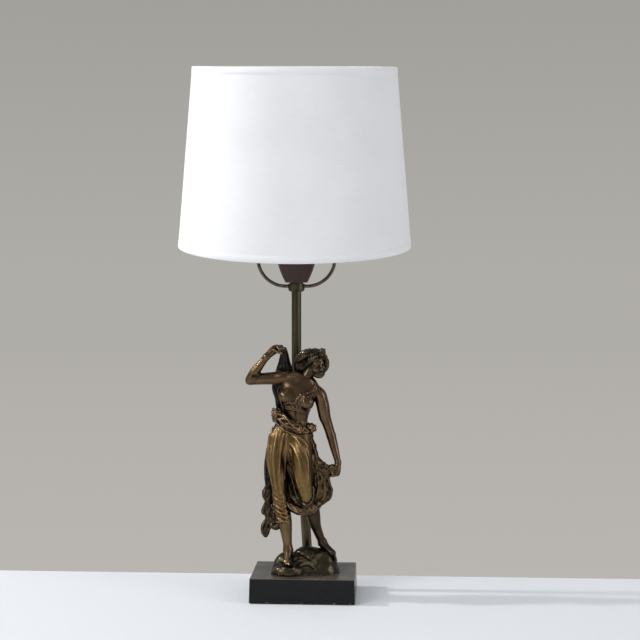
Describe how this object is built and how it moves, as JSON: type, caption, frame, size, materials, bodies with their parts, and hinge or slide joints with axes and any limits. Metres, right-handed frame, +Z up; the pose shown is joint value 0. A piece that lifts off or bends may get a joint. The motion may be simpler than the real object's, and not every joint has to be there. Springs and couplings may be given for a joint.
{
  "type": "figural table lamp",
  "caption": "Table lamp with a cast robed figure on a rock and a lacquered plinth, a thin stem, a wire harp and a tilting cloth shade.",
  "frame": {"origin": "middle of the felt's underside, on the table", "axes": "+Z up; +X to the viewer's right, along the plinth's long side; +Y away from the viewer, towards the lamp's back"},
  "size_m": [0.2431, 0.2538, 0.5562],
  "materials": {
    "black_lacquer": "gloss black lacquer",
    "felt": "felt",
    "brown_moulding": "matt brown moulded resin",
    "steel": "plain",
    "dark_bronze": "dark bronzed",
    "brass": "bright",
    "porcelain": "glazed",
    "nickel": "satin",
    "black_glass": "gloss",
    "opal_glass": "opal",
    "clear_glass": "clear",
    "tungsten": "drawn",
    "white_cloth": "fine woven",
    "white_enamel": "gloss",
    "bronze": "patinated, rubbed on the high places"
  },
  "bodies": {
    "base": {"plinth": "black_lacquer", "plinth_felt": "felt", "cable_inlet_bush": "brown_moulding", "figure_screws": "steel", "figure_washers": "steel", "stem_tube": "dark_bronze", "stem_collar": "dark_bronze", "stem_washer": "steel", "stem_nut": "steel", "hub": "dark_bronze", "hub_grub_screw": "steel", "harp": "dark_bronze", "holder_seat_washer": "dark_bronze", "holder_cup": "brown_moulding", "holder_nut": "steel", "holder_sleeve": "brown_moulding", "holder_insert": "porcelain", "holder_screw_shell": "brass", "terminal_screws": "brass", "harp_saddle": "dark_bronze", "tilt_fork": "dark_bronze", "tilt_screw": "dark_bronze", "rock_base": "bronze", "right_leg": "bronze", "left_leg": "bronze", "trousers": "bronze", "skirt_swag": "bronze", "torso": "bronze", "hip_sash": "bronze", "sash_rosettes": "bronze", "side_drapery": "bronze", "back_cloak": "bronze", "tail_drapery": "bronze", "right_arm": "bronze", "left_arm": "bronze", "figure_head": "bronze", "figure_hair": "bronze", "hair_wreath": "bronze"},
    "thumb_nut": {"tilt_thumb_nut": "dark_bronze"},
    "tongue": {"tilt_tongue": "dark_bronze"},
    "shade": {"shade_cloth": "white_cloth", "shade_top_ring": "white_enamel", "shade_bottom_ring": "white_enamel", "shade_spider": "white_enamel"},
    "finial": {"finial": "dark_bronze"},
    "contact": {"centre_contact": "brass"},
    "bulb": {"bulb_contact": "nickel", "bulb_insulator": "black_glass", "bulb_cap": "nickel", "bulb_glass": "opal_glass", "bulb_stem": "clear_glass", "bulb_filament": "tungsten"}
  },
  "joints": [
    {"name": "tilt_nut_turn", "type": "hinge", "parent": "base", "child": "thumb_nut", "pos_m": [-0.011, 0.023, 0.492], "axis": [0.9999, 0, -0.014], "range_deg": [-90, 90]},
    {"name": "shade_tilt", "type": "hinge", "parent": "base", "child": "tongue", "pos_m": [-0.011, 0.023, 0.492], "axis": [0.9999, 0, -0.014], "range_deg": [-24, 8]},
    {"name": "shade_turn", "type": "hinge", "parent": "tongue", "child": "shade", "pos_m": [-0.011, 0.023, 0.492], "axis": [0.0138, -0.1736, 0.9847], "continuous": true},
    {"name": "finial_turn", "type": "hinge", "parent": "tongue", "child": "finial", "pos_m": [-0.011, 0.023, 0.492], "axis": [0.0138, -0.1736, 0.9847], "continuous": true},
    {"name": "contact_follow", "type": "slide", "parent": "base", "child": "contact", "axis": [0, 0, 1], "range_m": [0, 0.0036]},
    {"name": "bulb_turn", "type": "hinge", "parent": "contact", "child": "bulb", "pos_m": [-0.0095, 0.023, 0.36], "axis": [0, 0, 1], "range_deg": [0, 360]}
  ],
  "couplings": [
    {"joint": "contact_follow", "follows": "bulb_turn", "m_per_rad": 0.00057296}
  ]
}
